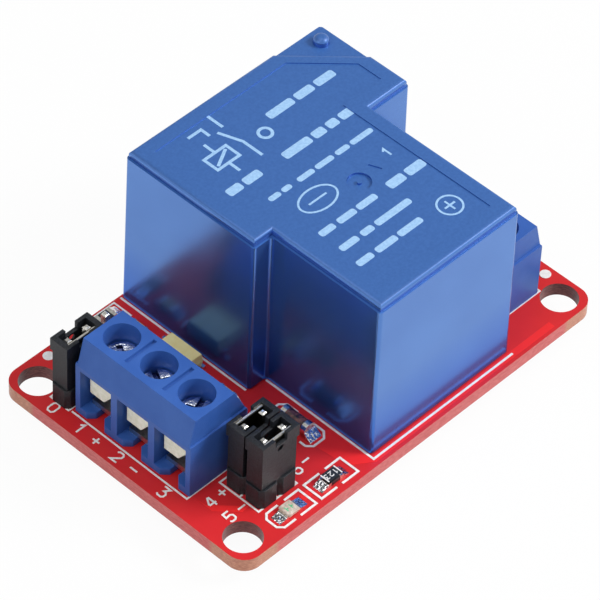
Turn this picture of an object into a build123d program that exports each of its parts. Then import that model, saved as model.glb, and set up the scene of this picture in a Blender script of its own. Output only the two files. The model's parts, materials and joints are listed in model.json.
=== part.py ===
"""Single-channel relay module, millimetres, +Z up.

The origin is the centre of the four mounting holes on the underside of the board.
+X runs from the input terminal to the output terminal, +Y to the long edge behind the relay.
Sizes along the board are first set out from its corner at the input end, then moved to the origin.
"""
import os
from math import cos, hypot, radians, sin

from build123d import *

os.makedirs("parts", exist_ok=True)

# Board
board_thickness = 1.6
board_corner_r = 2.0
hole_inset_x = 2.55
hole_inset_y = 2.7
mounting_hole_d = 4.0
drill_clearance = 0.1
input_edge_gap = 2.45
output_edge_gap = 3.65
parts_strip = 6.24
relay_front_margin = 1.35
relay_back_margin = 0.2

# Solder
tail_length = 1.8
relay_tail_length = 1.7
header_tail_length = 1.3
tail_round_sides = 10
solder_height = 0.9
solder_rim = 0.1
solder_pad_margin = 0.45
solder_tip_margin = 0.12

# Relay housing: outline at the board, narrowing upwards by the draft
relay_width = 27.7
relay_length = 32.05
front_step_x = 2.4
front_step_y = 14.2
rear_step_x = 5.4
rear_wing_length = 12.6
relay_corner_r = 0.4
relay_shoulder_height = 19.4
relay_draft = 0.2
cover_wall = 1.0
cover_roof = 0.9
lid_step = 0.9
lid_inset = 0.22
lid_edge_r = 0.45
lid_corner_cut = 6.9
panel_margin = 1.8
panel_depth = 0.1
vent_nib_d = 1.7
vent_nib_height = 0.9
vent_nib_inset = 1.75
vent_nib_edge_r = 0.65
gate_d = 2.5
gate_depth = 0.25
gate_nub_d = 0.5
gate_front_offset = 13.3
gate_side_offset = 11.1
scar_offset_x = 2.55
scar_offset_y = 0.33
scar_length = 1.4
scar_width = 0.25
scar_depth = 0.12
scar_angle = -67
base_rim_height = 0.15
base_rim_inset = 0.25
base_thickness = 2.0
base_fit = 0.05
slot_fit = 0.05

# Relay mechanism
sheet_thickness = 1.3
yoke_width = 12.0
yoke_wall_gap = 0.15
yoke_bend_r = 1.0
flange_gap = 0.3
coil_flange_r = 7.5
coil_flange_thickness = 0.8
bobbin_barrel_d = 7.8
winding_d = 13.6
winding_fit = 0.05
core_d = 6.0
core_fit = 0.02
pole_d = 8.4
pole_thickness = 0.9
armature_angle = 3.5
armature_gap = 0.05
armature_overreach = 1.8
armature_corner_cut = 1.5
pole_clearance = 0.15
spring_width = 5.0
spring_thickness = 0.25
spring_overlap = 10.0
spring_end_margin = 2.2
contact_d = 3.5
contact_height = 0.8
upper_contact_height = 0.4
fixed_contact_height = 0.3
contact_setback = 6.2
contact_clearance = 0.06
blade_thickness = 0.8
arm_thickness = 0.5
blade_wall_gap = 0.3
open_blade_width = 6.0
closed_blade_width = 3.6
roof_clearance = 0.2
common_bar_width = 3.0
common_bar_reach = 5.0
common_bar_gap = 0.3
power_tail_width = 1.6
coil_pin_d = 0.8
coil_pin_sides = 20
coil_pin_inset = 0.9
coil_pin_rise = 0.7
flange_side_gap = 0.25

# Screw terminals, three poles each
pole_pitch = 5.08
poles = 3
terminal_rib = 0.85
terminal_end_wall = 0.65
terminal_depth = 7.75
terminal_lip_height = 6.6
terminal_cap_height = 3.3
terminal_front_slope = 0.85
terminal_back_slope = 1.65
terminal_end_step = 0.25
terminal_end_step_rise = 0.25
terminal_back_wall = 0.75
terminal_floor = 0.9
entry_lip = 0.5
well_d = 3.7
well_offset = 3.55
divider_width = 0.45
divider_depth = 0.4
divider_length = 4.0
foot_notch_width = 1.1
foot_notch_depth = 2.6
foot_chamfer = 0.7
screw_head_stand = 1.05
screw_head_height = 1.2
screw_head_d = 3.4
screw_shank_d = 2.4
screw_shank_sides = 16
screw_thread_fit = 0.08
screw_slot_width = 0.6
screw_slot_depth = 0.6
screw_cross_length = 2.4
contact_sheet = 0.6
contact_side_gap = 0.4
contact_wall_gap = 0.1
contact_front = 1.3
contact_top_front = 2.15
contact_roof_gap = 0.75
contact_tail_offset = 5.0
contact_tail_width = 1.0
contact_tail_thickness = 0.8
clamp_sheet = 0.5
clamp_side_gap = 0.3
clamp_below_plate = 0.95
clamp_back_gap = 0.2
guard_front = 1.05
guard_sheet = 0.3
guard_drop = 1.2
guard_rise = 1.3
guard_cut_width = 1.7
guard_cut_height = 2.3
clamp_screw_gap = 0.03
output_relay_gap = 0.36
output_wing_gap = 0.4

# Pin headers and shunts
pin_pitch = 2.54
pin_side = 0.64
pin_tip_chamfer = 0.15
pin_fit = 0.02
header_height = 2.5
header_cell_chamfer = 0.45
pin_rise = 5.8
trigger_pins = 3
trigger_edge_gap = 1.81
trigger_gap = 0.46
setting_edge_gap = 6.06
setting_gap = 0.99
shunt_length = 4.98
shunt_width = 2.36
shunt_height = 6.0
shunt_seat_gap = 0.05
shunt_end_wall = 0.62
shunt_side_wall = 0.42
shunt_notch_width = 1.6
shunt_notch_depth = 0.9
shunt_collar_height = 1.55
shunt_body_inset = 0.16
shunt_window_d = 0.9
shunt_window_sides = 12
clip_thickness = 0.2
clip_wall_gap = 0.03
clip_floor_gap = 0.6
clip_tall_height = 5.2
clip_short_height = 3.6
clip_web = 1.0

# Surface-mounted parts
chip_length = 2.0
chip_width = 1.25
resistor_height = 0.55
capacitor_height = 0.85
end_cap_length = 0.4
end_cap_proud = 0.02
fillet_reach = 0.9
fillet_drop = 0.1
led_width = 1.5
led_base_height = 0.25
led_lens_height = 0.3
led_lens_margin = 0.25
led_lens_chamfer = 0.1
led_header_gap = 1.065
led_pos = (8.06, 1.92)
led_resistor_pos = (13.8, 1.88)
input_resistor_pos = (3.3, 1.3)
base_resistor_pos = (4.1, 17.3)
capacitor_1_pos = (2.3, 4.7)
capacitor_2_pos = (2.3, 16.6)
transistor_pos = (3.6, 13.4)
optocoupler_pos = (2.84, 23.05)
diode_pos = (2.35, 9.1)
diode_length = 3.5
diode_d = 1.45
diode_cap_d = 1.55
diode_cap_length = 0.6
diode_solder_rise = 0.8
opto_size = (3.6, 4.4, 2.0)
opto_lead_pitch = 2.54
transistor_size = (1.3, 2.9, 1.0)
transistor_lead_pitch = 1.9
package_standoff = 0.1
package_draft = 0.12
lead_width = 0.4
lead_thickness = 0.18
lead_reach = 1.1
lead_foot = 0.6
transistor_lead_reach = 0.55
transistor_lead_foot = 0.3

# Places along the board, from its corner at the input end
terminal_length = (poles - 1) * pole_pitch + (pole_pitch - terminal_rib) + 2 * terminal_end_wall
entry_width = pole_pitch - terminal_rib
contact_width = entry_width - 2 * contact_side_gap
clamp_width = entry_width - 2 * clamp_side_gap
input_front = input_edge_gap
input_back = input_front + terminal_depth
relay_x0 = input_back + parts_strip
relay_front_face = relay_x0 + front_step_x
relay_x1 = relay_x0 + relay_width
relay_rear_face = relay_x1 - rear_step_x
relay_y0 = relay_front_margin
relay_y1 = relay_y0 + relay_length
rear_wing_y = relay_y1 - rear_wing_length
front_wing_y = relay_y0 + front_step_y
output_back = relay_rear_face + output_relay_gap
output_front = output_back + terminal_depth
output_y = rear_wing_y - output_wing_gap - terminal_length / 2
setting_y = led_pos[1] + led_width / 2 + led_header_gap + pin_pitch
input_y = setting_y + pin_pitch + setting_gap + terminal_length / 2
trigger_y = input_y + terminal_length / 2 + trigger_gap + pin_pitch / 2
input_row_back = trigger_y + pin_pitch / 2 + mounting_hole_d / 2 + hole_inset_y
board_length = output_front + output_edge_gap
board_width = max(relay_y1 + relay_back_margin, input_row_back)

# Heights
top = board_thickness
shoulder = top + relay_shoulder_height
lid_top = shoulder + lid_step
base_top = top + base_thickness
roof = shoulder - cover_roof
closed_arm_top = roof - roof_clearance
upper_contact_top = closed_arm_top - arm_thickness - fixed_contact_height - contact_clearance
spring_top = upper_contact_top - upper_contact_height
armature_top = spring_top - spring_thickness
hinge_z = armature_top - sheet_thickness

origin = Pos(-board_length / 2, -board_width / 2, 0)

# Cutting shapes reach this far past the piece that they cut
over = 1.0


def box_between(x0, x1, y0, y1, z0, z1):
    """Block between two corners."""
    size = Box(x1 - x0, y1 - y0, z1 - z0)
    return Pos((x0 + x1) / 2, (y0 + y1) / 2, (z0 + z1) / 2) * size


def rod(x, y, diameter, z0, z1):
    """Upright cylinder between two heights."""
    return Pos(x, y, (z0 + z1) / 2) * Cylinder(diameter / 2, z1 - z0)


def side_profile(points, y0, y1):
    """Outline in X and Z, made solid between two places in Y."""
    face = make_face(Polyline(*[(x, 0, z) for x, z in points], close=True).edges())
    return Pos(0, y1, 0) * extrude(face, y1 - y0, dir=(0, -1, 0))


def save(shape, name):
    """Moves the piece to the row's origin and writes it."""
    export_step(origin * shape, f"parts/{name}.step")


def save_group(shapes, name):
    """Writes separate solids as one group."""
    export_step(Compound(children=[origin * shape for shape in shapes]), f"parts/{name}.step")


def flat_sided_rod(x, y, diameter, sides, z0, z1):
    """Upright prism with flat sides round a circle, for small rounds that other pieces hide."""
    outline = RegularPolygon(diameter / 2, sides, major_radius=False)
    return Pos(x, y, z0) * extrude(outline, z1 - z0)


# Solder tails: place, size and length of each pin that goes through the board
def relay_tails():
    """Places and sections of the five relay pins."""
    power = (power_tail_width, blade_thickness)
    return [
        (coil_pin_x[0], coil_pin_y, coil_pin_d, coil_pin_d, relay_tail_length),
        (coil_pin_x[1], coil_pin_y, coil_pin_d, coil_pin_d, relay_tail_length),
        (common_tail_x, common_y, power[1], power[0], relay_tail_length),
        (coil_x, open_blade_y, power[0], power[1], relay_tail_length),
        (closed_blade_x, contact_y, power[1], power[0], relay_tail_length),
    ]


def pole_offsets():
    """Places of the poles along a terminal block, from its middle."""
    return [(i - (poles - 1) / 2) * pole_pitch for i in range(poles)]


def terminal_tails():
    """Places and sections of the contact tails of both terminal blocks."""
    tails = []
    for offset in pole_offsets():
        tails.append((input_front + contact_tail_offset, input_y + offset))
        tails.append((output_front - contact_tail_offset, output_y + offset))
    return [(x, y, contact_tail_width, contact_tail_thickness, tail_length) for x, y in tails]


def trigger_places():
    """Pin places of the three-way header."""
    return [(trigger_edge_gap + (i + 0.5) * pin_pitch, trigger_y) for i in range(trigger_pins)]


def setting_places():
    """Pin places of the two by two header."""
    places = []
    for j in (0, 1):
        for i in (0, 1):
            x = setting_edge_gap + (i + 0.5) * pin_pitch
            places.append((x, setting_y + (j - 0.5) * pin_pitch))
    return places


def header_tails():
    """Places and sections of all header pins."""
    return [(x, y, pin_side, pin_side, header_tail_length) for x, y in trigger_places() + setting_places()]


# Where the relay mechanism stands
cavity_inset = cover_wall + relay_draft
cavity_back = relay_y1 - cavity_inset
cavity_front = relay_y0 + cavity_inset
yoke_outer = cavity_back - yoke_wall_gap
yoke_inner = yoke_outer - sheet_thickness
coil_x = (relay_front_face + relay_rear_face) / 2
coil_y = yoke_inner - flange_gap - coil_flange_r
contact_y = cavity_front + contact_setback
open_blade_y = cavity_front + blade_wall_gap + blade_thickness / 2
closed_blade_x = relay_rear_face - cavity_inset - blade_wall_gap - blade_thickness / 2
flange_side_reach = (relay_rear_face - relay_front_face) / 2 - cavity_inset - flange_side_gap
coil_pin_x = (coil_x - flange_side_reach + coil_pin_inset, coil_x + flange_side_reach - coil_pin_inset)
coil_pin_y = coil_y + coil_flange_r - coil_pin_inset
common_tail_x = coil_x + yoke_width / 2 + common_bar_reach - blade_thickness / 2
common_y = rear_wing_y + cavity_inset + common_bar_gap + common_bar_width / 2
swing = radians(armature_angle)
pole_far_reach = yoke_inner - coil_y + pole_d / 2
pole_top = hinge_z - pole_far_reach * sin(swing) - pole_clearance
bobbin_bottom = base_top + sheet_thickness
bobbin_top = pole_top - pole_thickness
contact_reach = yoke_inner - contact_y + contact_d / 2
contact_bottom = armature_top - contact_height
contact_drop = contact_reach * sin(swing) - (contact_bottom - hinge_z) * cos(swing)
open_contact_top = hinge_z - contact_drop - contact_clearance

all_tails = relay_tails() + terminal_tails() + header_tails()
solder_spread = solder_pad_margin + drill_clearance - solder_tip_margin


# Board
def circuit_board():
    """Rounded board with its mounting holes and one drilled hole for each tail."""
    outline = RectangleRounded(board_length, board_width, board_corner_r)
    board = Pos(board_length / 2, board_width / 2, 0) * extrude(outline, board_thickness)
    for x in (hole_inset_x, board_length - hole_inset_x):
        for y in (hole_inset_y, board_width - hole_inset_y):
            board -= rod(x, y, mounting_hole_d, -over, board_thickness + over)
    for x, y, width, depth, _ in all_tails:
        drill = tail_hole_d(width, depth)
        board -= flat_sided_rod(x, y, drill, tail_round_sides, -over, board_thickness + over)
    return board


def tail_hole_d(width, depth):
    """Drill size for a tail: its diagonal, or its own size if it is round, and a clearance."""
    across = width if width == coil_pin_d else hypot(width, depth)
    return across + 2 * drill_clearance


def tail_solid(x, y, width, depth, z0, z1):
    """One tail between two heights, round for the coil pins and square-cut for the others."""
    if width == coil_pin_d:
        return flat_sided_rod(x, y, width, coil_pin_sides, z0, z1)
    return box_between(x - width / 2, x + width / 2, y - depth / 2, y + depth / 2, z0, z1)


def solder_joints():
    """A flat-sided cone of solder with a low rim round each tail, on the underside."""
    cones = []
    for x, y, width, depth, _ in all_tails:
        wide = tail_hole_d(width, depth) / 2 + solder_pad_margin
        cone = flat_sided_rod(x, y, 2 * wide, tail_round_sides, -solder_height, 0)
        tip = cone.faces().sort_by(Axis.Z)[0]
        cone = chamfer(tip.edges(), solder_spread, solder_height - solder_rim, reference=tip)
        cones.append(cone - tail_solid(x, y, width, depth, -tail_length - over, over))
    return cones


# Relay housing
def relay_outline(inset):
    """Stepped outline of the relay, moved inwards by a distance."""
    points = [
        (relay_x0 + inset, relay_y1 - inset),
        (relay_x1 - inset, relay_y1 - inset),
        (relay_x1 - inset, rear_wing_y + inset),
        (relay_rear_face - inset, rear_wing_y + inset),
        (relay_rear_face - inset, relay_y0 + inset),
        (relay_front_face + inset, relay_y0 + inset),
        (relay_front_face + inset, front_wing_y + inset),
        (relay_x0 + inset, front_wing_y + inset),
    ]
    return make_face(Polyline(*points, close=True).edges())


def rounded_outline(inset):
    """Relay outline with its corners rounded."""
    outline = relay_outline(inset)
    return fillet(outline.vertices(), relay_corner_r)


def relay_prism(inset, z0, z1):
    """Straight prism on the stepped outline."""
    return Pos(0, 0, z0) * extrude(relay_outline(inset), z1 - z0)


def lid_corner_wedge(margin, z0, z1):
    """Three-cornered block that cuts the lid back at the vent nib's corner."""
    reach = lid_corner_cut + margin
    x1 = relay_x1 - relay_draft - lid_inset
    y1 = relay_y1 - relay_draft - lid_inset
    corner = Polyline(
        (x1 + over, y1 + over),
        (x1 - reach - over, y1 + over),
        (x1 + over, y1 - reach - over),
        close=True,
    )
    return Pos(0, 0, z0) * extrude(make_face(corner.edges()), z1 - z0)


def relay_cover():
    """Moulded cover: drafted walls, a stepped lid with a shallow panel, a vent nib, a gate and its scar."""
    rim = top + base_rim_height
    body = loft([
        Pos(0, 0, rim) * rounded_outline(0),
        Pos(0, 0, shoulder) * rounded_outline(relay_draft),
    ], ruled=True)
    lid_base = relay_draft + lid_inset
    lid = relay_prism(lid_base, shoulder, lid_top) - lid_corner_wedge(0, shoulder - over, lid_top + over)
    lid = fillet(lid.faces().sort_by(Axis.Z)[-1].outer_wire().edges(), lid_edge_r)
    cover = body + lid
    panel = relay_prism(lid_base + panel_margin, lid_top - panel_depth, lid_top + over)
    cover -= panel - lid_corner_wedge(panel_margin, shoulder, lid_top + 2 * over)
    gate_x = relay_front_face + gate_side_offset
    gate_y = relay_y0 + gate_front_offset
    gate_floor = lid_top - panel_depth - gate_depth
    cover -= rod(gate_x, gate_y, gate_d, gate_floor, lid_top + over)
    cover += rod(gate_x, gate_y, gate_nub_d, gate_floor, lid_top - panel_depth)
    scar = Box(scar_length, scar_width, 2 * scar_depth)
    scar_place = Pos(gate_x + scar_offset_x, gate_y + scar_offset_y, lid_top - panel_depth)
    cover -= scar_place * Rot(0, 0, scar_angle) * scar
    nib_x = relay_x1 - relay_draft - vent_nib_inset
    nib_y = relay_y1 - relay_draft - vent_nib_inset
    nib = rod(nib_x, nib_y, vent_nib_d, roof, shoulder + vent_nib_height)
    cover += fillet(nib.edges().sort_by(Axis.Z)[-1], vent_nib_edge_r)
    return cover - relay_prism(cavity_inset, top, roof)


def relay_base():
    """Base plate: a rim that stands on the board and a plug inside the cover, slotted for the pins."""
    rim = relay_prism(base_rim_inset, top, top + base_rim_height)
    plug = relay_prism(cavity_inset + base_fit, top + base_rim_height, base_top)
    base = rim + plug
    for x, y, width, depth, _ in relay_tails():
        base -= tail_slot(x, y, width, depth)
    return base


def tail_slot(x, y, width, depth):
    """Slot in the base for one pin."""
    if width == coil_pin_d:
        return flat_sided_rod(x, y, width + 2 * slot_fit, tail_round_sides, 0, base_top + over)
    grown = (width + 2 * slot_fit, depth + 2 * slot_fit)
    return tail_solid(x, y, grown[0], grown[1], 0, base_top + over)


# Relay mechanism
def coil_bobbin():
    """Spool: a round upper flange and a square lower one that holds the coil pins."""
    barrel = rod(coil_x, coil_y, bobbin_barrel_d, bobbin_bottom, bobbin_top)
    upper = rod(coil_x, coil_y, 2 * coil_flange_r, bobbin_top - coil_flange_thickness, bobbin_top)
    lower = box_between(coil_x - flange_side_reach, coil_x + flange_side_reach,
                        coil_y - coil_flange_r, coil_y + coil_flange_r,
                        bobbin_bottom, bobbin_bottom + coil_flange_thickness)
    bobbin = barrel + upper + lower
    bobbin -= rod(coil_x, coil_y, core_d + 2 * core_fit, bobbin_bottom - over, bobbin_top + over)
    flange_top = bobbin_bottom + coil_flange_thickness
    for x in coil_pin_x:
        bobbin -= flat_sided_rod(x, coil_pin_y, coil_pin_d + 2 * slot_fit, tail_round_sides,
                                 bobbin_bottom - over, flange_top + over)
    return bobbin


def coil_winding():
    """Copper winding between the flanges."""
    low = bobbin_bottom + coil_flange_thickness + winding_fit
    high = bobbin_top - coil_flange_thickness - winding_fit
    winding = rod(coil_x, coil_y, winding_d, low, high)
    return winding - rod(coil_x, coil_y, bobbin_barrel_d + 2 * winding_fit, low - over, high + over)


def coil_core():
    """Iron core with its pole face, riveted in the foot of the yoke."""
    return rod(coil_x, coil_y, core_d, base_top, bobbin_top) + rod(coil_x, coil_y, pole_d, bobbin_top, pole_top)


def yoke():
    """Bent iron strip: a foot under the coil and a leg that the armature tips on."""
    half = yoke_width / 2
    foot_front = coil_y - coil_flange_r
    foot = box_between(coil_x - half, coil_x + half, foot_front, yoke_outer, base_top, bobbin_bottom)
    leg = box_between(coil_x - half, coil_x + half, yoke_inner, yoke_outer, base_top, hinge_z - armature_gap)
    frame = foot + leg
    bend = frame.edges().filter_by(Axis.X).sort_by(Axis.Y)[-2:].sort_by(Axis.Z)[0]
    frame = fillet(bend, yoke_bend_r)
    return frame - rod(coil_x, coil_y, core_d + 2 * core_fit, 0, bobbin_bottom + over)


def armature():
    """Flat iron plate over the pole face."""
    half = yoke_width / 2
    front = coil_y - pole_d / 2 - armature_overreach
    plate = box_between(coil_x - half, coil_x + half, front, yoke_outer, hinge_z, armature_top)
    return chamfer(plate.edges().filter_by(Axis.Z).sort_by(Axis.Y)[:2], armature_corner_cut)


def contact_spring():
    """Spring blade on the armature with the moving contact riveted through it."""
    half = spring_width / 2
    front = coil_y - pole_d / 2 - armature_overreach
    blade = box_between(coil_x - half, coil_x + half, contact_y - spring_end_margin, front + spring_overlap,
                        armature_top, spring_top)
    lower = rod(coil_x, contact_y, contact_d, contact_bottom, armature_top)
    upper = rod(coil_x, contact_y, contact_d, spring_top, upper_contact_top)
    return blade + lower + upper


def open_terminal():
    """Fixed contact under the moving one, on an angled strip with its tail."""
    half = open_blade_width / 2
    arm_top = open_contact_top - fixed_contact_height
    back = open_blade_y + blade_thickness / 2
    blade = box_between(coil_x - half, coil_x + half, open_blade_y - blade_thickness / 2, back,
                        base_top, arm_top)
    arm = box_between(coil_x - half, coil_x + half, open_blade_y, contact_y + contact_d / 2,
                      arm_top - blade_thickness, arm_top)
    button = rod(coil_x, contact_y, contact_d, arm_top, open_contact_top)
    tail = tail_solid(coil_x, open_blade_y, power_tail_width, blade_thickness, -relay_tail_length, base_top)
    return blade + arm + button + tail


def closed_terminal():
    """Fixed contact over the moving one, on a strip from the side with its tail."""
    half = closed_blade_width / 2
    inner = closed_blade_x - blade_thickness / 2
    outer = closed_blade_x + blade_thickness / 2
    arm_bottom = closed_arm_top - arm_thickness
    blade = box_between(inner, outer, contact_y - half, contact_y + half, base_top, closed_arm_top)
    arm = box_between(coil_x - contact_d / 2, closed_blade_x, contact_y - half, contact_y + half,
                      arm_bottom, closed_arm_top)
    button = rod(coil_x, contact_y, contact_d, arm_bottom - fixed_contact_height, arm_bottom)
    tail = tail_solid(closed_blade_x, contact_y, blade_thickness, power_tail_width,
                      -relay_tail_length, base_top)
    return blade + arm + button + tail


def common_terminal():
    """Flat bar from the foot of the yoke to its tail."""
    side = coil_x + yoke_width / 2
    half = common_bar_width / 2
    bar = box_between(side, side + common_bar_reach, common_y - half, common_y + half,
                      base_top, base_top + blade_thickness)
    tail = tail_solid(common_tail_x, common_y, blade_thickness, power_tail_width,
                      -relay_tail_length, base_top)
    return bar + tail


def coil_pins():
    """The two pins that the ends of the winding are soldered to."""
    pin_top = bobbin_bottom + coil_flange_thickness + coil_pin_rise
    return [
        flat_sided_rod(x, coil_pin_y, coil_pin_d, coil_pin_sides, -relay_tail_length, pin_top)
        for x in coil_pin_x
    ]


# Screw terminals, built with the wire side at X = 0, the middle pole at Y = 0 and the board at Z = 0
terminal_height = terminal_lip_height + terminal_cap_height
entry_top = terminal_lip_height - entry_lip
plate_top = entry_top - contact_roof_gap
plate_bottom = plate_top - contact_sheet
head_bottom = plate_top + screw_head_stand
head_top = head_bottom + screw_head_height
riser_outer = terminal_depth - terminal_back_wall - contact_wall_gap
riser_inner = riser_outer - contact_sheet
clamp_top = plate_bottom - clamp_below_plate
bar_top = terminal_floor + contact_sheet


def terminal_housing():
    """Moulded block with a wire entry, a screw well and a slotted floor for each pole."""
    half = terminal_length / 2
    profile = [
        (0, 0),
        (0, terminal_lip_height),
        (terminal_front_slope, terminal_height),
        (terminal_depth - terminal_back_slope, terminal_height),
        (terminal_depth, terminal_lip_height),
        (terminal_depth, 0),
    ]
    housing = side_profile(profile, -half, half)
    for side in (-1, 1):
        inner = side * (half - terminal_end_step)
        outer = side * (half + over)
        housing -= box_between(-over, terminal_depth + over, min(inner, outer), max(inner, outer),
                               terminal_lip_height + terminal_end_step_rise, terminal_height + over)
    for offset in pole_offsets():
        housing -= box_between(-over, terminal_depth - terminal_back_wall,
                               offset - entry_width / 2, offset + entry_width / 2, terminal_floor, entry_top)
        housing -= rod(well_offset, offset, well_d, plate_top, terminal_height + over)
        housing -= floor_notch(offset)
        housing -= box_between(contact_tail_offset - contact_tail_width / 2 - slot_fit,
                               contact_tail_offset + contact_tail_width / 2 + slot_fit,
                               offset - contact_tail_thickness / 2 - slot_fit,
                               offset + contact_tail_thickness / 2 + slot_fit, -over, terminal_floor + over)
    for left, right in zip(pole_offsets(), pole_offsets()[1:]):
        middle = (left + right) / 2
        housing -= box_between(well_offset - divider_length / 2, well_offset + divider_length / 2,
                               middle - divider_width / 2, middle + divider_width / 2,
                               terminal_height - divider_depth, terminal_height + over)
    return housing


def floor_notch(offset):
    """Notch in the floor of one entry, with its mouth widened to leave chamfered feet."""
    half = foot_notch_width / 2
    wide = half + foot_chamfer
    points = [
        (-over, offset - wide - over),
        (foot_chamfer, offset - half),
        (foot_notch_depth, offset - half),
        (foot_notch_depth, offset + half),
        (foot_chamfer, offset + half),
        (-over, offset + wide + over),
    ]
    return Pos(0, 0, -over) * extrude(make_face(Polyline(*points, close=True).edges()), terminal_floor + over)


def terminal_contact(offset):
    """Bent contact of one pole: a bar under the wire, a riser, a threaded plate and the tail."""
    half = contact_width / 2
    front = contact_front
    profile = [
        (front, terminal_floor),
        (riser_outer, terminal_floor),
        (riser_outer, plate_top),
        (contact_top_front, plate_top),
        (contact_top_front, plate_bottom),
        (riser_inner, plate_bottom),
        (riser_inner, bar_top),
        (front, bar_top),
    ]
    strip = side_profile(profile, offset - half, offset + half)
    hole_d = screw_shank_d + 2 * screw_thread_fit
    strip -= flat_sided_rod(well_offset, offset, hole_d, screw_shank_sides, clamp_top, plate_top + over)
    tail = box_between(contact_tail_offset - contact_tail_width / 2,
                       contact_tail_offset + contact_tail_width / 2,
                       offset - contact_tail_thickness / 2, offset + contact_tail_thickness / 2,
                       -board_thickness - tail_length, terminal_floor)
    return strip + tail


def terminal_clamp(offset):
    """Wire guard of one pole: a plate under the screw and a leaf across the entry with one corner cut."""
    half = clamp_width / 2
    back = riser_inner - clamp_back_gap
    low = clamp_top - guard_drop
    leaf = box_between(guard_front, guard_front + guard_sheet, offset - half, offset + half,
                       low, clamp_top + guard_rise)
    corner = Polyline(
        (offset - half, low),
        (offset - half + guard_cut_width, low),
        (offset - half, low + guard_cut_height),
        close=True,
    )
    cut = Plane.YZ * make_face(corner.edges())
    leaf -= Pos(guard_front - over, 0, 0) * extrude(cut, guard_sheet + 2 * over)
    plate = box_between(guard_front + guard_sheet, back, offset - half, offset + half,
                        clamp_top - clamp_sheet, clamp_top)
    return leaf + plate


def terminal_screw(offset, angle):
    """Screw of one pole, with a cross recess in its head."""
    tip = clamp_top + clamp_screw_gap
    shank = flat_sided_rod(0, 0, screw_shank_d, screw_shank_sides, tip, head_bottom)
    slot = Pos(0, 0, head_top) * Box(screw_head_d + over, screw_slot_width, 2 * screw_slot_depth)
    cross = Pos(0, 0, head_top) * Box(screw_slot_width, screw_cross_length, 2 * screw_slot_depth)
    head = rod(0, 0, screw_head_d, head_bottom, head_top) - slot - cross
    return Pos(well_offset, offset, 0) * Rot(0, 0, angle) * (head + shank)


input_place = Pos(input_front, input_y, top)
output_place = Pos(output_front, output_y, top) * Rot(0, 0, 180)
screw_angles = (20, 65, 150)


# Pin headers
def header_cells(places):
    """Moulded strip: one cell with cut corners for each pin."""
    body = None
    for x, y in places:
        cell = extrude(Rectangle(pin_pitch, pin_pitch), header_height)
        cell = Pos(x, y, top) * chamfer(cell.edges().filter_by(Axis.Z), header_cell_chamfer)
        body = cell if body is None else body + cell
    for x, y in places:
        hole = pin_side / 2 + pin_fit
        body -= box_between(x - hole, x + hole, y - hole, y + hole, 0, top + header_height + over)
    return body


def header_pin(x, y):
    """Square pin with a chamfered tip."""
    half = pin_side / 2
    pin = box_between(x - half, x + half, y - half, y + half,
                      -header_tail_length, top + header_height + pin_rise)
    return chamfer(pin.faces().sort_by(Axis.Z)[-1].edges(), pin_tip_chamfer)


def shunt_cap(x, y):
    """Open cap over two pins: a collar on a narrower body, with a notch and a window in each side."""
    low = top + header_height + shunt_seat_gap
    high = low + shunt_height
    collar_low = high - shunt_collar_height
    half = (shunt_length / 2, shunt_width / 2)
    cap = box_between(x - half[0], x + half[0], y - half[1], y + half[1], collar_low, high)
    cap += box_between(x - half[0] + shunt_body_inset, x + half[0] - shunt_body_inset,
                       y - half[1] + shunt_body_inset, y + half[1] - shunt_body_inset, low, collar_low)
    cap -= box_between(x - half[0] + shunt_end_wall, x + half[0] - shunt_end_wall,
                       y - half[1] + shunt_side_wall, y + half[1] - shunt_side_wall, low - over, high + over)
    cap -= box_between(x - shunt_notch_width / 2, x + shunt_notch_width / 2, y - half[1] - over,
                       y + half[1] + over, high - shunt_notch_depth, high + over)
    window = extrude(RegularPolygon(shunt_window_d / 2, shunt_window_sides), half[1] + over, both=True)
    return cap - Pos(x, y, collar_low) * Rot(90, 0, 0) * window


def shunt_clip(x, y, side):
    """Bent clip inside the cap: a tall leaf on one side of the pins, a short one on the other, and a web."""
    low = top + header_height + shunt_seat_gap + clip_floor_gap
    reach = shunt_length / 2 - shunt_end_wall - clip_wall_gap
    outer = shunt_width / 2 - shunt_side_wall - clip_wall_gap
    inner = outer - clip_thickness
    leaves = []
    for sign, height in ((side, clip_tall_height), (-side, clip_short_height)):
        ends = sorted((sign * inner, sign * outer))
        leaves.append(box_between(x - reach, x + reach, y + ends[0], y + ends[1], low, low + height))
    web = box_between(x - clip_web / 2, x + clip_web / 2, y - inner, y + inner, low, low + clip_web)
    return leaves[0] + leaves[1] + web


# Surface-mounted parts
def chip_body(x, y, turned, height):
    """Ceramic block of one chip part, between its end caps."""
    long_side = chip_length - 2 * end_cap_length
    width = chip_width - 2 * end_cap_proud
    size = (width, long_side) if turned else (long_side, width)
    return Pos(x, y, top + height / 2) * Box(size[0], size[1], height - 2 * end_cap_proud)


def chip_ends(x, y, turned, height):
    """Metal end caps of one chip part."""
    ends = []
    for sign in (-1, 1):
        shift = sign * (chip_length - end_cap_length) / 2
        size = (chip_width, end_cap_length) if turned else (end_cap_length, chip_width)
        place = (x, y + shift) if turned else (x + shift, y)
        ends.append(Pos(place[0], place[1], top + height / 2) * Box(size[0], size[1], height))
    return ends


def chip_fillets(x, y, turned, length, width, rise):
    """Wedges of solder at the two ends of one chip part."""
    inner = length / 2
    wedge = side_profile([(inner, 0), (inner, rise), (inner + fillet_reach, 0)], -width / 2, width / 2)
    angles = (90, 270) if turned else (0, 180)
    return [Pos(x, y, top) * Rot(0, 0, angle) * wedge for angle in angles]


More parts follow.
